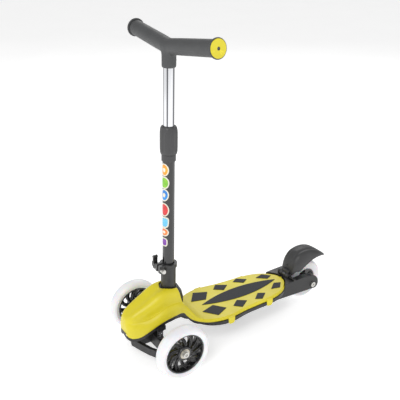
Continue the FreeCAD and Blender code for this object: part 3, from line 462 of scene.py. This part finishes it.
fork_black = moulded("fork_black", paint(36, 36, 37), paint(28, 28, 29), 0.36, grain=0.4)
soften("rear_fork", fork_black, width=0.0014, segments=3)
soften("brake_hinge_pin", fork_black, width=0.0003, segments=2)


# ---- Brake fender ----
# Arched hood of grey polypropylene over the rear wheel, pressed down with the heel to brake. Two
# shallow flutes stiffen its top, and a rubbing block faces the tyre.

fender_stations = [(363, 19, 80.5, 102), (367, 21.8, 84, 113), (372, 24.2, 88, 122),
                   (379, 26.6, 91.5, 130), (386, 28, 94.5, 135), (402, 28, 104, 138),
                   (418, 28, 112, 137.5), (434, 28, 116, 133), (444, 26.6, 115.6, 128.6),
                   (452, 24.4, 114, 123.5), (461, 21, 110.6, 117), (468.4, 16.5, 107, 111.4)]
fender_points = []
fender_rows = 0
fender_columns = 41
for k in range(len(fender_stations) * 2 - 1):
    first = fender_stations[k // 2][0]
    y = first if k % 2 == 0 else (first + fender_stations[k // 2 + 1][0]) / 2
    half, low, high = (between(fender_stations, y, column) for column in (1, 2, 3))
    wavy = 3.2 * math.exp(-(((y - 370) / 4.5) ** 2)) - 1.8 * math.exp(-(((y - 382) / 5) ** 2))
    for c in range(fender_columns):
        angle = math.pi * c / (fender_columns - 1)
        across = math.copysign(abs(math.cos(angle)) ** (2 / 3), math.cos(angle))
        rise = abs(math.sin(angle)) ** (2 / 3)
        x = half * across
        flute = math.exp(-(((abs(x) - 11) / 3.2) ** 2)) * min(1, max(0, (y - 362) / 14))
        flute *= min(1, max(0, (452 - y) / 16))
        z = low + wavy * (1 - rise) + (high - low) * rise - 2.1 * flute * (rise > 0.5)
        fender_points.append((x, y, z))
    fender_rows += 1
fender_faces = grid(fender_rows, fender_columns)
for c in range(fender_columns // 2 - 1):
    mirror = fender_columns - 1 - c
    fender_faces.append((c, c + 1, mirror - 1, mirror))
fender_hood = built("fender_hood", fender_points, fender_faces, chassis, "brake")
modify(fender_hood, "SUBSURF", levels=1, render_levels=1)
modify(fender_hood, "SOLIDIFY", thickness=0.0032, offset=-1)
modify(fender_hood, "BEVEL", width=0.0006, segments=2, limit_method="ANGLE")
settle(fender_hood)
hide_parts("brake_fender")
fender_grey = moulded("moulded_grey", paint(60, 60, 61), paint(48, 48, 49), 0.44, grain=0.45)
dress(fender_hood, fender_grey)


def bar_block(name, x, y, z, body, finish, round_edge):
    """Moulded block from three (low, high) pairs, with rounded edges."""
    points = [(i, j, k) for i in x for j in y for k in z]
    faces = [(0, 1, 3, 2), (4, 6, 7, 5), (0, 4, 5, 1), (2, 3, 7, 6), (0, 2, 6, 4), (1, 5, 7, 3)]
    piece = built(name, points, faces, chassis, body)
    modify(piece, "BEVEL", width=round_edge, segments=4, limit_method="ANGLE")
    dress(piece, finish)
    return piece


hinge = chassis @ Matrix.Translation((0, 356, 80)) @ Matrix.Rotation(math.pi / 2, 4, "Y")
hinge_barrel = turned("fender_hinge_barrel", [(2.7, -13.8), (5, -13.8), (5.4, -13.3), (5.4, -5.2),
                                              (5, -4.9), (2.7, -4.9)], hinge, "brake", around=40)
hinge_barrel_far = turned("fender_hinge_barrel_far", [(2.7, 4.9), (5, 4.9), (5.4, 5.2), (5.4, 13.3),
                                                      (5, 13.8), (2.7, 13.8)], hinge, "brake", 40)
for piece in (hinge_barrel, hinge_barrel_far):
    dress(piece, fender_grey)
bar_block("fender_hinge_web", (-11, 11), (356, 365.5), (83.5, 92), "brake", fender_grey, 0.001)
arc = [math.radians(angle) for angle in range(62, 122, 5)]
rub_points = []
for x in (-9, 9):
    lower = [(416 + 55.2 * math.cos(angle), 50 + 55.2 * math.sin(angle)) for angle in arc]
    lower = [(y, z) for y, z in lower if 388 <= y <= 416]
    loop = lower + [(y, z + (133 - z) * 0.97) for y, z in reversed(lower)]
    rub_points += [(x, y, z) for y, z in loop]
count = len(rub_points) // 2
rub_block = built("fender_rub_block", rub_points,
                  grid(2, count, closed=True) + [tuple(range(count)), tuple(range(count, 2 * count))],
                  chassis, "brake")
modify(rub_block, "BEVEL", width=0.0008, segments=3, limit_method="ANGLE")
dress(rub_block, fender_grey)


# ---- Springs ----
# Music-wire coils: a pair that brings the truck back upright and a torsion spring round the pin
# of the brake.

def coil(name, radius, wire, turns, low, high, place, body):
    """Helical spring with closed ends, about Z."""
    steps = int(turns * 26)
    points = []
    for k in range(steps + 1):
        share = k / steps
        eased = min(1.0, max(0.0, (share - 0.5 / turns) / (1 - 1.0 / turns)))
        height = low + wire + (high - low - 2 * wire) * eased
        angle = 2 * math.pi * turns * share
        for j in range(10):
            ring_angle = 2 * math.pi * j / 10
            reach = radius - wire + wire * math.cos(ring_angle)
            points.append((reach * math.cos(angle), reach * math.sin(angle),
                           height + wire * math.sin(ring_angle)))
    faces = grid(steps + 1, 10, closed=True)
    faces += [tuple(range(10)), tuple(range(steps * 10, steps * 10 + 10))]
    return built(name, points, faces, place, body)


spring_steel = plated("spring_steel", paint(120, 120, 122), 0.3)
for side, word in ((1, "left"), (-1, "right")):
    spot = chassis @ Matrix.Translation((41 * side, -15, 0))
    spring = coil(f"truck_spring_{word}", 6.5, 0.8, 5.5, 60.3, 81, spot, "deck")
    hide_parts(f"return_spring_{word}")
    dress(spring, spring_steel)
    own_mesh(spring)
brake_coil = coil("brake_coil", 4.7, 0.6, 6.5, -4.4, 4.4, hinge, "deck")
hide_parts("brake_spring")
dress(brake_coil, spring_steel)


# ---- Tyres ----
# Cast polyurethane, milky white and faintly see-through, poured onto the rims. A fine parting
# line runs round the tread, and a shallow step rings each side wall.

tyre_white = Finish("cast_polyurethane", {"Subsurface Weight": 0.25, "Subsurface Scale": 0.004,
                                          "Coat Weight": 0.1, "Coat Roughness": 0.3})
cloud = tyre_white.noise(30, 4.0).step(0.35, 0.7)
scuffed = tyre_white.noise(260, 5.0).step(0.55, 0.75)
tyre_white.set({"Base Color": tyre_white.mix(cloud * 0.5 + scuffed * 0.3, paint(238, 238, 240),
                                             paint(224, 224, 228)),
                "Roughness": scuffed * 0.15 + 0.36})
tyre_white.relief(tyre_white.noise(900, 3.0), 0.2, 0.0001)


def tyre_section(radius, rim, half):
    """Closed section of a tyre, from its inner edge round the tread and back."""
    crown = [(radius, 0.0), (radius - 0.25, 0.18 * half), (radius - 0.9, 0.4 * half),
             (radius - 2.0, 0.6 * half), (radius - 3.6, 0.78 * half), (radius - 5.6, 0.91 * half),
             (radius - 8.0, 0.985 * half), (radius - 9.4, half), (radius - 9.9, half - 0.5),
             (rim + 2.4, half - 0.9), (rim + 0.7, half - 1.5), (rim, half - 2.7)]
    crown = [(r, h) for r, h in crown if r >= rim]
    other = [(r, -h) for r, h in reversed(crown[1:])]
    return other + [(radius, 0.0)] + crown[1:] + [other[0]]


def axle_place(side, x):
    """Place of a wheel on the front axle, its outer face towards Z."""
    turn = Matrix(((0, 0, side, 0), (side, 0, 0, 0), (0, 1, 0, 0), (0, 0, 0, 1)))
    return chassis @ Matrix.Translation((side * x, 0, 60)) @ turn


half_track = 107.5
wheel_places = {"left": axle_place(1, half_track), "right": axle_place(-1, half_track)}
for word, place in wheel_places.items():
    tyre = turned(f"tyre_front_{word}", tyre_section(60, 44.5, 14), place, f"front_wheel_{word}", 120)
    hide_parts(f"front_tyre_{word}")
    dress(tyre, tyre_white)
rear_hub = (chassis @ Matrix.Translation((0, 416, 50))
            @ Matrix(((0, 0, 1, 0), (1, 0, 0, 0), (0, 1, 0, 0), (0, 0, 0, 1))))
rear_tyre = turned("tyre_rear", tyre_section(50, 29, 12), rear_hub, "rear_wheel", 108)
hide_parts("rear_tyre")
dress(rear_tyre, tyre_white)


# ---- Rims and bearings ----
# Glossy black nylon rims whose ten swept spokes are each a pair of ribs that part towards the
# barrel. A zinc-shielded ball bearing is pressed into each end of the hub.

rim_black = moulded("rim_black", paint(24, 24, 25), paint(18, 18, 19), 0.2, coat=0.5, grain=0.1)


def spoke(first):
    """Points of one swept spoke: a loop of ribs and groove at each step outwards."""
    rows = []
    for k in range(11):
        t = k / 10
        radius = 14.5 + 27.4 * t
        angle = first + math.radians(34) * t ** 1.15
        width = 5.2 + 8.4 * t ** 1.3
        rib = 1.6
        tall = 7.2 - 2.4 * math.sin(math.pi * t) + 1.6 * t
        loop = [(-width / 2, -4.5), (-width / 2, tall - 1.2), (-width / 2 + 0.5, tall),
                (-width / 2 + rib, tall), (-width / 2 + rib + 0.7, tall - 3.0 - 2 * t),
                (width / 2 - rib - 0.7, tall - 3.0 - 2 * t), (width / 2 - rib, tall),
                (width / 2 - 0.5, tall), (width / 2, tall - 1.2), (width / 2, -4.5)]
        for across, height in loop:
            swing = angle + across / radius
            rows.append((radius * math.cos(swing), radius * math.sin(swing), height))
    return rows


def spoked_rim(word, place):
    """Front rim: barrel, hub and ten swept spokes in one moulding."""
    points, faces = [], []

    def add(more, quads):
        faces.extend(tuple(i + len(points) for i in quad) for quad in quads)
        points.extend(more)

    def spun(section):
        ring = [(r * math.cos(2 * math.pi * k / 96), r * math.sin(2 * math.pi * k / 96), h)
                for r, h in section + section[:1] for k in range(96)]
        add(ring, grid(len(section) + 1, 96, closed=True))

    spun([(40.4, -11), (44.3, -11), (44.4, 10.6), (44.0, 11.3), (43.0, 11.6), (42.0, 11.2),
          (41.2, 9.6), (40.6, 6), (40.4, 0)])
    spun([(11.1, -13), (16, -13), (16.2, -4), (16, 6.5), (15.2, 9.2), (13.8, 10), (11.1, 10)])
    for k in range(10):
        loop = spoke(2 * math.pi * k / 10)
        add(loop, grid(11, 10, closed=True) + [tuple(range(10)), tuple(range(100, 110))])
    rim = built(f"rim_front_{word}", points, faces, place, f"front_wheel_{word}")
    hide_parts(f"front_rim_{word}")
    dress(rim, rim_black)


for word, place in wheel_places.items():
    spoked_rim(word, place)
soften("rear_rim", rim_black, width=0.0006, segments=2)
shield = plated("bearing_shield", paint(196, 190, 176), 0.28)
for name in ("front_bearings_left", "front_bearings_right", "rear_bearings",
             "front_bearing_tube_left", "front_bearing_tube_right", "rear_bearing_tube"):
    soften(name, shield, width=0.0004, segments=2)


# ---- Truck ----
# Black glass-filled nylon beam between the front wheels. It rocks on a tilted pivot bolt, and a
# bowed guard with two windows closes it in front.

truck_black = moulded("truck_black", paint(40, 40, 41), paint(31, 31, 32), 0.4, grain=0.5)
soften("truck_beam", truck_black, width=0.0012, segments=3)


# ---- Stem foot: housing, socket and clamp ----
# The housing and the slit steel socket rise out of the cowl. A collar with a cam lever on its
# skewer squeezes the slit shut on the tube; all are coated in satin black.

satin = Finish("satin_black_coat", {"Metallic": 0.25, "Coat Weight": 0.3, "Coat Roughness": 0.3})
orange_peel = satin.noise(380, 3.0)
satin_wear = satin.edges() * satin.noise(150, 4.0).step(0.5, 0.7)
satin.set({"Base Color": satin.mix(satin_wear * 0.5, paint(46, 46, 46), paint(96, 96, 94)),
           "Roughness": orange_peel.step(0.3, 0.7) * 0.1 + 0.36})
satin.relief(orange_peel, 0.15, 0.00012)
for name in ("stem_socket", "clamp_collar", "clamp_lever"):
    soften(name, satin, width=0.0009, segments=3)
soften("head_housing", black, width=0.0012, segments=3)
for name in ("clamp_skewer", "clamp_nut"):
    soften(name, zinc, width=0.0004, segments=2)


# ---- Lower tube and its stickers ----
# Steel tube in glossy black paint, with a moulded step ring under the lock sleeve. Seven bright
# vinyl stickers of plain rounded shapes run down its front, each with a pale border.

gloss = Finish("gloss_black_paint", {"Coat Weight": 0.6, "Coat Roughness": 0.08})
haze = gloss.noise(22, 4.0).step(0.4, 0.7)
gloss.set({"Base Color": gloss.mix(haze * 0.5, paint(26, 26, 27), paint(36, 36, 37)),
           "Roughness": haze * 0.08 + 0.24})
gloss.relief(gloss.noise(500, 2.0), 0.08, 0.00008)
soften("lower_tube", gloss, width=0.0003, segments=2)
sleeve_grey = moulded("sleeve_grey", paint(66, 66, 67), paint(56, 56, 57), 0.44, grain=0.4)
soften("step_ring", sleeve_grey, width=0.001, segments=3)
soften("tube_bush", bush_nylon, width=0.0003, segments=2)


def sticker_outline(kind):
    """Outline of one plain sticker shape about its middle, in shares of its half size."""
    turns = [2 * math.pi * k / 48 for k in range(48)]
    power, waist, lean = kind
    return [(math.copysign(abs(math.cos(a)) ** power, math.cos(a)) * (1 + waist * math.cos(3 * a))
             + lean * math.sin(a), math.copysign(abs(math.sin(a)) ** power, math.sin(a)))
            for a in turns]


def sticker(name, middle, height, sweep, kind, radius, finish):
    """Thin vinyl patch bent round the tube, about its front."""
    outline = sticker_outline(kind)
    rings = 7
    points = []
    for r in range(rings + 1):
        for across, up in outline:
            share = r / rings
            angle = -math.pi / 2 + math.radians(14 + sweep * across * share)
            points.append((radius * math.cos(angle), radius * math.sin(angle),
                           middle + height / 2 * up * share))
    piece = built(name, points, grid(rings + 1, len(outline), closed=True), stem, "column")
    modify(piece, "SOLIDIFY", thickness=0.00012, offset=0)
    dress(piece, finish)


def vinyl(name, colour, deep):
    """Printed vinyl, deeper in colour in soft patches, under a clear glossy film."""
    finish = Finish(name, {"Coat Weight": 0.5, "Coat Roughness": 0.12})
    fade = finish.noise(70, 3.0).step(0.3, 0.7)
    finish.set({"Base Color": finish.mix(fade, colour, deep), "Roughness": fade * 0.1 + 0.3})
    finish.relief(finish.noise(600, 2.0), 0.08, 0.00006)
    return finish


border = vinyl("vinyl_border", paint(236, 232, 214), paint(224, 220, 200))
stickers = [("amber", 418.3, 26.6, (1.0, 0.0, 0.0), (248, 172, 28), (240, 142, 22)),
            ("green", 391.4, 26, (0.8, 0.06, 0.0), (146, 206, 38), (106, 182, 34)),
            ("blue", 364.8, 27, (1.0, 0.0, 0.1), (36, 146, 222), (22, 106, 200)),
            ("red", 332.9, 29.2, (0.9, 0.05, 0.0), (224, 48, 48), (196, 30, 40)),
            ("sky", 305.2, 24, (0.55, 0.0, 0.12), (108, 200, 234), (80, 180, 224)),
            ("orange", 283.4, 19.6, (1.0, 0.0, 0.0), (246, 136, 58), (236, 106, 40)),
            ("violet", 260.4, 19.6, (0.6, 0.0, 0.0), (138, 56, 176), (108, 38, 156))]
for name, middle, height, kind, colour, deep in stickers:
    sweep = 50 if name != "violet" else 38
    sticker(f"sticker_{name}_border", middle, height, sweep, kind, 12.62, border)
    print_finish = vinyl(f"vinyl_{name}", paint(*colour), paint(*deep))
    sticker(f"sticker_{name}", middle, height - 5, sweep - 11, kind, 12.74, print_finish)
    sticker(f"sticker_{name}_spot", middle, (height - 5) * 0.42, (sweep - 11) * 0.42, kind, 12.86,
            border if name in ("amber", "blue", "orange") else print_finish)


# ---- Lock sleeve ----
# Charcoal nylon collar turned by hand to lock the height. It is round-shouldered, with eight
# shallow scallops down its side for the fingers.

def scallop(angle, radius, height):
    """Depth of the finger scallops, fading towards both ends."""
    fade = min(1.0, max(0.0, (height - 452) / 6)) * min(1.0, max(0.0, (505 - height) / 5))
    return -1.5 * fade * (0.5 - 0.5 * math.cos(8 * angle)) ** 2 if radius > 14 else 0.0


sleeve_section = [(12.7, 449), (14.8, 449), (15.8, 449.4), (16.3, 450.4), (17.2, 453), (17.8, 457),
                  (18, 463), (18, 470), (18, 478), (18, 486), (17.9, 493), (17.4, 498.5),
                  (16.4, 502.6), (14.8, 505.2), (12.9, 506), (11.4, 506), (11.3, 504)]
lock_sleeve = turned("lock_collar", sleeve_section, stem, "sleeve", 128, scallop)
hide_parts("lock_sleeve")
dress(lock_sleeve, sleeve_grey)


# ---- Upper tube ----
# Drawn steel tube, bright chrome over nickel, that slides in the lower tube to set the height.
# Three dark bands of painted reflection run up it, fixed across the tube as the camera sees it.

chrome = Finish("bright_chrome", {"Metallic": 1.0})
smear = chrome.noise(26, 4.0, stretch=(1, 1, 0.3)).step(0.45, 0.75)
# Painted reflection: dark bands placed across the tube as seen from the camera, standing in for
# reflected dark surroundings.
lean_back = chrome.along("Z") * math.tan(stem_rake) + (front_axle_y + 0.0261)
across = chrome.along("X") * 0.54 + (chrome.along("Y") - lean_back) * 0.84
painted_reflection_bands = across.step(-0.0042, -0.0034) * (1 - across.step(-0.0012, -0.0004))
painted_reflection_bands = painted_reflection_bands + (1 - across.step(-0.0096, -0.0088)) + across.step(0.0074, 0.0086)
bright = chrome.mix(smear * 0.4, paint(226, 227, 230), paint(205, 206, 210))
chrome.set({"Base Color": chrome.mix(painted_reflection_bands * 0.85, bright, paint(52, 53, 58)),
            "Roughness": smear * 0.07 + 0.07})
chrome.relief(chrome.noise(1400, 2.0, stretch=(1, 1, 0.1)), 0.03, 0.00003)
soften("upper_tube", chrome, width=0.0003, segments=2)


# ---- Handlebar ----
# One charcoal moulding over steel cores: the boss on the tube flows into two arms that rise and
# sweep back a little. Flanges stop the hands, and yellow caps close the ends.

bar_height = 656
arm_radius = 15.4
bar_points = []
bar_faces = []


def bar_tube(foot, direction, length, radius):
    """Closed tube added to the handlebar's rough mesh."""
    turn = Vector(direction).to_track_quat("Z", "Y").to_matrix()
    start = len(bar_points)
    steps = 40
    around = 48
    for k in range(steps + 1):
        for j in range(around):
            angle = 2 * math.pi * j / around
            ring = Vector((radius * math.cos(angle), radius * math.sin(angle), length * k / steps))
            bar_points.append(tuple(Vector(foot) + turn @ ring))
    bar_faces.extend(tuple(i + start for i in face) for face in grid(steps + 1, around, closed=True))
    for end in (start, start + steps * around):
        bar_faces.append(tuple(range(end, end + around)))


arm_ends = {side: Vector((150 * side, 8, 17)).normalized() for side in (1, -1)}
for side, heading in arm_ends.items():
    bar_tube(Vector((0, 0, bar_height)) - heading * 9, heading, 155.3, arm_radius)
bar_tube((0, 0, 617), (0, 0, 1), 40, 14.2)
handlebar = built("handlebar_moulding", bar_points, bar_faces, stem, "bar")
modify(handlebar, "REMESH", mode="VOXEL", voxel_size=0.0014)
settle(handlebar)
tee = handlebar.vertex_groups.new(name="tee")
tee_middle = stem @ Vector((0, 0, bar_height - 8))
for vertex in handlebar.data.vertices:
    reach = (vertex.co - tee_middle).length
    tee.add([vertex.index], min(1.0, max(0.0, (0.042 - reach) / 0.018)), "REPLACE")
modify(handlebar, "SMOOTH", factor=0.5, iterations=6)
modify(handlebar, "SMOOTH", factor=0.8, iterations=42, vertex_group="tee")
settle(handlebar)
handlebar.data.shade_smooth()
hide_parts("handlebar_body")
charcoal = moulded("moulded_charcoal", paint(70, 71, 72), paint(58, 59, 60), 0.5, grain=0.6)
dress(handlebar, charcoal)
for word in ("left", "right"):
    soften(f"grip_flange_{word}", charcoal, width=0.0012, segments=4)
    soften(f"end_cap_{word}", yellow, width=0.0006, segments=3)
    soften(f"bar_core_{word}", zinc, width=0.0003, segments=2)
    dress(nodes[f"cap_screw_{word}"], gloss)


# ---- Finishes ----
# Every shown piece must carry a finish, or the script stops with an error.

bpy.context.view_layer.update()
undressed = [piece.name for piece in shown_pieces() if not piece.data.materials]
if undressed:
    raise RuntimeError(f"no finish on {undressed}")
